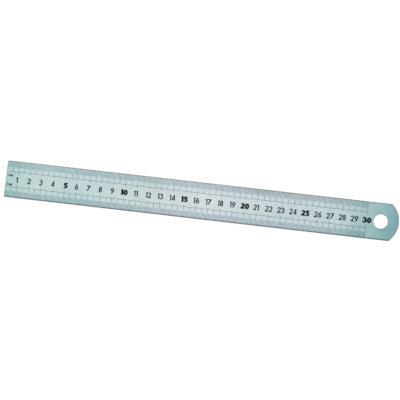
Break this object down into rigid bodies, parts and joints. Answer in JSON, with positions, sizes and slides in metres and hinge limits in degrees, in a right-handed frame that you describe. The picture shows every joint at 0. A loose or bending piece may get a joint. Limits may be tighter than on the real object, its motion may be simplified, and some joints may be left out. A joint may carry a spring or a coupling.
{
  "type": "steel ruler",
  "caption": "Flat metric steel ruler with etched millimetre scales along both long edges, a square zero end and a rounded end with a hanging hole.",
  "frame": {"origin": "middle of the blade's length and width, on its back face", "axes": "+X along the blade from the square zero end to the rounded end with the hole, +Y across it, +Z out of the graduated face"},
  "size_m": [0.3262, 0.03, 0.001],
  "materials": {
    "satin_steel": "satin rolled stainless steel, fine grain along the length",
    "etched_black": "matt black fill in the etched marks and numerals"
  },
  "bodies": {
    "root": {"ruler_blade": "satin_steel"}
  },
  "joints": []
}
